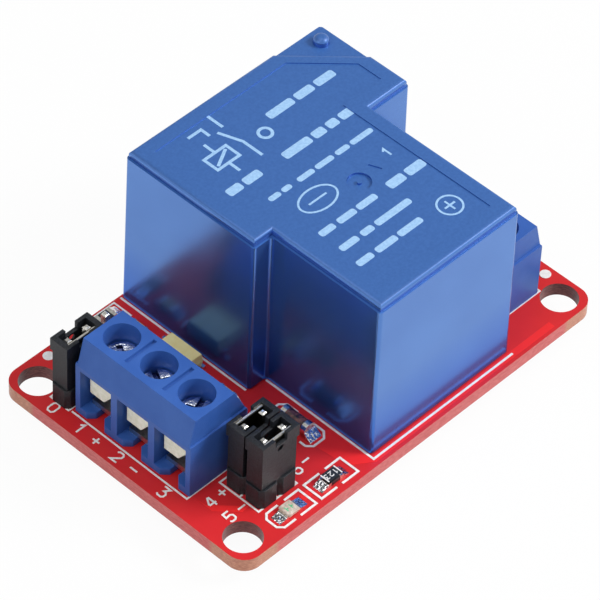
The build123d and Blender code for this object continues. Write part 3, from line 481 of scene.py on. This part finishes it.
coil_symbol = [[(-4.0, 8.4), (-1.0, 8.4), (-1.0, 10.3), (-4.0, 10.3), (-4.0, 8.4)],
               [(-3.6, 8.75), (-1.4, 9.95)], [(-2.5, 10.3), (-2.5, 11.8)], [(-2.5, 8.4), (-2.5, 6.9)]]
contact_symbol = [[(0.6, 6.9), (0.6, 9.5), (-0.35, 12.1)], [(0.6, 12.3), (0.6, 14.6)],
                  [(-1.2, 12.3), (-1.2, 13.5), (-3.0, 13.5)]]
draw_lines("lid_print_diagram", coil_symbol + contact_symbol + [ring(3.0, 8.85, 0.7, 0.7)], diagram_pen,
           lid_print_z, print_thickness, print_ink)
marks = [ring(0.13, -1.0, 2.3, 1.45), [(-1.1, -1.0), (1.3, -1.0)], ring(8.6, -10.4, 1.3, 1.3),
         [(7.9, -10.4), (9.3, -10.4)], [(8.6, -11.1), (8.6, -9.7)]]
draw_lines("lid_print_fine", write_digits("1", (9.2, -1.75), (1, 0), pin_number_height) + marks, sign_pen,
           lid_print_z, print_thickness, print_ink)


# Screw terminals: blue nylon mouldings, satin, each with three wire entries and three screw wells.
# Wire guards, contact bars and clamp screws are plated; the screws have cross recesses.

# Polyamide from a fine-ground mould: an even, slightly waxy blue with a soft sheen and a faint grain.
terminal_plastic, tree, shader, point = new_material("satin_blue_nylon", 0.38)
shader.inputs["IOR"].default_value = 1.32
tree.links.new(mottle(tree, point, 3 * mm, "#3159A4", "#3860AB"), shader.inputs["Base Color"])
grain(tree, shader, point, 0.25 * mm, 0.012 * mm)
# Barrel-plated nickel on stamped steel: creamy and dull, with hardly any reflection.
guard_plate, tree, shader, point = new_material("dull_nickel_plate", 0.5, metallic=0.08)
tree.links.new(mottle(tree, point, 0.5 * mm, "#E6E9D2", "#F8F9EA"), shader.inputs["Base Color"])
grain(tree, shader, point, 0.2 * mm, 0.015 * mm)
# Tinned brass strip, rolled smooth: grey metal that darkens inside the housing.
contact_plate, tree, shader, point = new_material("tinned_brass_strip", 0.3, metallic=1.0)
tree.links.new(mottle(tree, point, 0.5 * mm, "#B4B5B0", "#D2D3CF"), shader.inputs["Base Color"])
# Bright zinc on a cold-headed screw: small scratches and tumbling marks catch the light round the
# recess. Down in the recess and on the sides of the head the colour is darker, as painted shade.
screw_plate, tree, shader, point = new_material("zinc_plated_steel", 0.22, metallic=1.0)
head_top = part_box("input_screw_1")[1][2]
shade_depth, lit_depth = 0.3 * mm, 0.08 * mm
level = add(tree, "ShaderNodeSeparateXYZ", links={0: point.outputs["Object"]})
on_head = add(tree, "ShaderNodeMapRange",
              {"From Min": head_top - shade_depth, "From Max": head_top - lit_depth},
              {"Value": level.outputs["Z"]})
# Painted shade: a darker colour below the top of the head, in the recess and down the head's sides.
recess_shade = mottle(tree, point, 0.3 * mm, "#56608A", "#7480AA")
tumbled = mottle(tree, point, 0.3 * mm, "#D4DCF0", "#F4F8FF")
tone = add(tree, "ShaderNodeMix", links={0: on_head.outputs[0], 6: recess_shade, 7: tumbled}, data_type="RGBA")
tree.links.new(tone.outputs[2], shader.inputs["Base Color"])
grain(tree, shader, point, 0.4 * mm, 0.09 * mm)
for side in ("input", "output"):
    softened(side + "_terminal_housing", 0.09 * mm, terminal_plastic)
    coat(contact_plate, side + "_contacts")
    for i in (1, 2, 3):
        softened(f"{side}_clamp_{i}", 0.05 * mm, guard_plate)
        softened(f"{side}_screw_{i}", 0.06 * mm, screw_plate)
coat(contact_plate, "coil_pins")


# Pin headers and shunts: black glass-filled polyester mouldings with square tinned pins.
# Each shunt is a small box with a bent spring clip that joins two pins.

# Polyester with short glass fibre, moulded: black and dull, with paler fibre specks a tenth of a
# millimetre long, drawn 0.15 mm so that they show, which lift the walls that face the light to grey.
black_polyester, tree, shader, point = new_material("black_glass_filled_polyester", 0.48)
shader.inputs["IOR"].default_value = 1.4
tree.links.new(mottle(tree, point, 0.15 * mm, "#0F1115", "#25282E"), shader.inputs["Base Color"])
grain(tree, shader, point, 0.15 * mm, 0.03 * mm)
# Tinned brass wire, drawn square and cut: small bright ends.
tinned_pin, tree, shader, point = new_material("bright_tinned_pin", 0.2, metallic=1.0)
tree.links.new(mottle(tree, point, 0.3 * mm, "#DAD8D0", "#F8F6F0"), shader.inputs["Base Color"])
# Spring bronze with a thin gold flash, blanked and bent: bright sheared edges at the top, and painted
# shade below them, where the clip goes down into the cap.
gold_clip, tree, shader, point = new_material("gold_flashed_spring_bronze", 0.3, metallic=1.0)
clip_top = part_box("trigger_shunt_clip")[1][2]
clip_shade_depth, clip_lit_depth = 0.3 * mm, 0.1 * mm
level = add(tree, "ShaderNodeSeparateXYZ", links={0: point.outputs["Object"]})
bright = add(tree, "ShaderNodeMapRange",
             {"From Min": clip_top - clip_shade_depth, "From Max": clip_top - clip_lit_depth},
             {"Value": level.outputs["Z"]})
# Painted shade: the clip's colour darkens below its top edges, inside the cap.
clip_shade = mottle(tree, point, 0.3 * mm, "#2E2C28", "#4A463E")
bright_edge = mottle(tree, point, 0.3 * mm, "#E2DED2", "#FBF8F0")
tone = add(tree, "ShaderNodeMix", links={0: bright.outputs[0], 6: clip_shade, 7: bright_edge},
           data_type="RGBA")
tree.links.new(tone.outputs[2], shader.inputs["Base Color"])
for name in ("trigger_header_body", "setting_header_body"):
    softened(name, 0.06 * mm, black_polyester)
for name in ("trigger_shunt_cap", "setting_shunt_cap_1", "setting_shunt_cap_2"):
    softened(name, 0.07 * mm, black_polyester)
coat(tinned_pin, "trigger_header_pins", "setting_header_pins", "optocoupler_leads",
     "drive_transistor_leads", "chip_end_caps", "flyback_diode_caps")
coat(gold_clip, "trigger_shunt_clip", "setting_shunt_clip_1", "setting_shunt_clip_2")


# Surface-mounted parts: ceramic chips, an indicator light, a glass diode and two moulded packages.
# They are placed on solder paste and reflowed.

# Epoxy, transfer-moulded and unpainted: cream with a fine grain.
opto_plastic, tree, shader, point = new_material("cream_moulded_epoxy", 0.5)
tree.links.new(mottle(tree, point, 1.2 * mm, "#FBE696", "#FFF0A8"), shader.inputs["Base Color"])
grain(tree, shader, point, 0.12 * mm, 0.01 * mm)
softened("optocoupler", 0.06 * mm, opto_plastic)
# The same with carbon black: dull, with a faint bloom from the mould.
black_epoxy, tree, shader, point = new_material("black_moulded_epoxy", 0.5)
tree.links.new(mottle(tree, point, 0.5 * mm, "#141416", "#1E1E22"), shader.inputs["Base Color"])
softened("drive_transistor", 0.04 * mm, black_epoxy)
# Glaze fired over the resistor film: black with a soft gloss.
resistor_glaze, tree, shader, point = new_material("black_resistor_glaze", 0.35)
tree.links.new(mottle(tree, point, 0.3 * mm, "#1C1F22", "#2A2E33"), shader.inputs["Base Color"])
for name in ("led_resistor", "input_resistor", "base_resistor"):
    softened(name, 0.03 * mm, resistor_glaze)
# The glaze laps over the end caps and carries its number. At each end a pale line stands for the cap's
# metal and is drawn white, as a painted highlight.
resistor_low, resistor_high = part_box("led_resistor")
resistor_x, resistor_y = [0.5 * (resistor_low[i] + resistor_high[i]) / mm for i in (0, 1)]
glaze_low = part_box("chip_end_caps")[1][2]
glaze_thickness = 0.03 * mm
glaze_length, glaze_width, cap_highlight = 1.66, 1.16, 0.14


def strip(x0, x1):
    """Outline across the resistor between two places along it."""
    return [(x0, resistor_y - glaze_width / 2), (x1, resistor_y - glaze_width / 2),
            (x1, resistor_y + glaze_width / 2), (x0, resistor_y + glaze_width / 2)]


glaze_end = glaze_length / 2
flat_areas("resistor_glaze_top", [strip(resistor_x - glaze_end, resistor_x + glaze_end)], glaze_low,
           glaze_thickness, resistor_glaze)
# Painted highlight: a white line on each end cap beside the glaze.
flat_areas("resistor_cap_highlights", [strip(resistor_x - glaze_end - cap_highlight, resistor_x - glaze_end),
                                  strip(resistor_x + glaze_end, resistor_x + glaze_end + cap_highlight)],
           glaze_low, glaze_thickness, legend_ink)
digit_height, digit_pen, digit_thickness = 0.56, 0.09, 0.015 * mm
digits_start = (resistor_x + 0.72, resistor_y + digit_height / 2)
draw_lines("resistor_digits", write_digits("123", digits_start, (-1, 0), digit_height), digit_pen,
           glaze_low + glaze_thickness, digit_thickness, legend_ink)
# Sintered ceramic of the chip capacitors: plain tan and dull.
capacitor_ceramic, tree, shader, point = new_material("tan_capacitor_ceramic", 0.45)
tree.links.new(mottle(tree, point, 0.4 * mm, "#B79B62", "#CBB27C"), shader.inputs["Base Color"])
for name in ("filter_capacitor_1", "filter_capacitor_2"):
    softened(name, 0.04 * mm, capacitor_ceramic)
# Clouded silicone cast over the light: milky, with the light's green marks printed on it.
lens_resin, tree, shader, point = new_material("milky_led_resin", 0.25)
shader.inputs["Subsurface Weight"].default_value = 0.3
shader.inputs["Subsurface Radius"].default_value = (0.0006, 0.0006, 0.0005)
tree.links.new(mottle(tree, point, 0.3 * mm, "#B4A596", "#DACCC0"), shader.inputs["Base Color"])
softened("status_led_lens", 0.05 * mm, lens_resin)
# White alumina under the lens: pale and dull, with faint cloudy patches.
led_ceramic, tree, shader, point = new_material("white_led_ceramic", 0.5)
tree.links.new(mottle(tree, point, 0.4 * mm, "#C4C5B6", "#D6D7CA"), shader.inputs["Base Color"])
coat(led_ceramic, "status_led_base")
# Marking ink of the light: clear green, thin and a little uneven.
mark_ink, tree, shader, point = new_material("green_marking_ink", 0.4)
tree.links.new(mottle(tree, point, 0.1 * mm, "#2FAE72", "#63C795"), shader.inputs["Base Color"])
lens_low, lens_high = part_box("status_led_lens")
lens_x, lens_y = [0.5 * (lens_low[i] + lens_high[i]) / mm for i in (0, 1)]
mark_pen, mark_thickness = 0.11, 0.01 * mm
mark_reach, mark_arm = 0.3, 0.25
mark_paths = []
for x in (lens_x - 0.42, lens_x + 0.18):
    mark_paths += [[(x, lens_y - mark_reach), (x, lens_y + mark_reach)],
                   [(x, lens_y), (x + mark_arm, lens_y)]]
draw_lines("led_marks", mark_paths, mark_pen, lens_high[2], mark_thickness, mark_ink)
# Soda glass drawn round the diode's crystal: dark inside with hard white reflections.
diode_glass, tree, shader, point = new_material("dark_diode_glass", 0.05)
shader.inputs["Coat Weight"].default_value = 1.0
shader.inputs["Coat Roughness"].default_value = 0.03
tree.links.new(mottle(tree, point, 0.5 * mm, "#2A1A1C", "#7A4A46"), shader.inputs["Base Color"])
coat(diode_glass, "flyback_diode")


# Stage: a pale round sweep under and round the part, and soft lamps, none of them part of the object.
# The sweep reads white to the camera and in reflections, and keeps a soft shadow.
floor_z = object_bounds()[0][2]
sweep_radius, sweep_height, sweep_bend = 1.7, 0.9, 0.5
bm = bmesh.new()
middle = bm.verts.new((0, 0, floor_z))
rim = bm.verts.new((sweep_radius, 0, floor_z))
lip = bm.verts.new((sweep_radius, 0, floor_z + sweep_height))
profile = [bm.edges.new((middle, rim)), bm.edges.new((rim, lip))]
bmesh.ops.spin(bm, geom=[middle, rim, lip] + profile, axis=(0, 0, 1), cent=(0, 0, 0), angle=2 * math.pi,
               steps=64, use_merge=True)
bmesh.ops.remove_doubles(bm, verts=bm.verts, dist=0.1 * mm)
foot = [e for e in bm.edges
        if all(abs(v.co.z - floor_z) < mm and v.co.xy.length > sweep_radius / 2 for v in e.verts)]
bmesh.ops.bevel(bm, geom=foot, offset=sweep_bend, offset_type="OFFSET", segments=10, profile=0.5,
                affect="EDGES", material=-1)
mesh = bpy.data.meshes.new("sweep")
bm.to_mesh(mesh)
bm.free()
mesh.shade_smooth()
sweep = bpy.data.objects.new("sweep", mesh)
bpy.context.scene.collection.objects.link(sweep)
# Matt white paint with a slight unevenness; nearly all that the camera sees of it is plain white, and
# the rest keeps the shadow.
white_share = 0.95
sweep_paint, tree, shader, point = new_material("matt_white_paint", 0.9)
tree.links.new(mottle(tree, point, 50 * mm, "#DCDCDC", "#E0E0E0"), shader.inputs["Base Color"])
ray = add(tree, "ShaderNodeLightPath")
seen = add(tree, "ShaderNodeMath",
           links={0: ray.outputs["Is Camera Ray"], 1: ray.outputs["Is Glossy Ray"]}, operation="MAXIMUM")
seen = add(tree, "ShaderNodeMath", links={0: seen.outputs[0], 1: ray.outputs["Is Transmission Ray"]},
           operation="MAXIMUM")
share = add(tree, "ShaderNodeMath", {1: white_share}, {0: seen.outputs[0]}, operation="MULTIPLY")
white = add(tree, "ShaderNodeEmission", {"Color": (1, 1, 1, 1), "Strength": 1.0})
lit = add(tree, "ShaderNodeMixShader",
          links={0: share.outputs[0], 1: shader.outputs[0], 2: white.outputs[0]})
tree.links.new(lit.outputs[0], tree.nodes["Material Output"].inputs["Surface"])
mesh.materials.append(sweep_paint)

world = bpy.data.worlds.new("studio")
bpy.context.scene.world = world
world.use_nodes = True
background = world.node_tree.nodes["Background"]
background.inputs["Color"].default_value = (1, 1, 1, 1)
background.inputs["Strength"].default_value = 0.4


def soft_lamp(name, place, size, power):
    """Square soft lamp that faces the part."""
    light = bpy.data.lights.new(name, "AREA")
    light.size = size
    light.energy = power
    lamp = bpy.data.objects.new(name, light)
    lamp.location = place
    lamp.rotation_mode = "QUATERNION"
    lamp.rotation_quaternion = Vector(place).to_track_quat("Z", "Y")
    bpy.context.scene.collection.objects.link(lamp)


soft_lamp("key_lamp", (0.34, -0.34, 0.40), 0.22, 3.3)
soft_lamp("top_lamp", (-0.05, -0.02, 0.62), 0.34, 0.8)
soft_lamp("fill_lamp", (-0.42, 0.02, 0.40), 0.36, 0.95)


# Camera: a long lens from over the input end, turned and rolled as the photograph was taken.
eye = Vector((-217.001, -193.953, 308.372)) * mm
right = Vector((0.693353, -0.719699, 0.035971))
down = Vector((-0.501371, -0.517668, -0.693287))
forward = Vector((0.517579, 0.462658, -0.719763))
image_size = 600
lens = bpy.data.cameras.new("camera")
lens.sensor_width = 36.0
lens.lens = 255.482
lens.shift_x = -3.632 / image_size
lens.shift_y = 3.781 / image_size
lens.clip_start = 0.01
lens.clip_end = 10.0
camera = bpy.data.objects.new("camera", lens)
turn = Matrix((right, -down, -forward)).transposed()
camera.matrix_world = Matrix.Translation(eye) @ turn.to_4x4()
bpy.context.scene.collection.objects.link(camera)
bpy.context.scene.camera = camera
bpy.context.scene.view_settings.view_transform = "Standard"
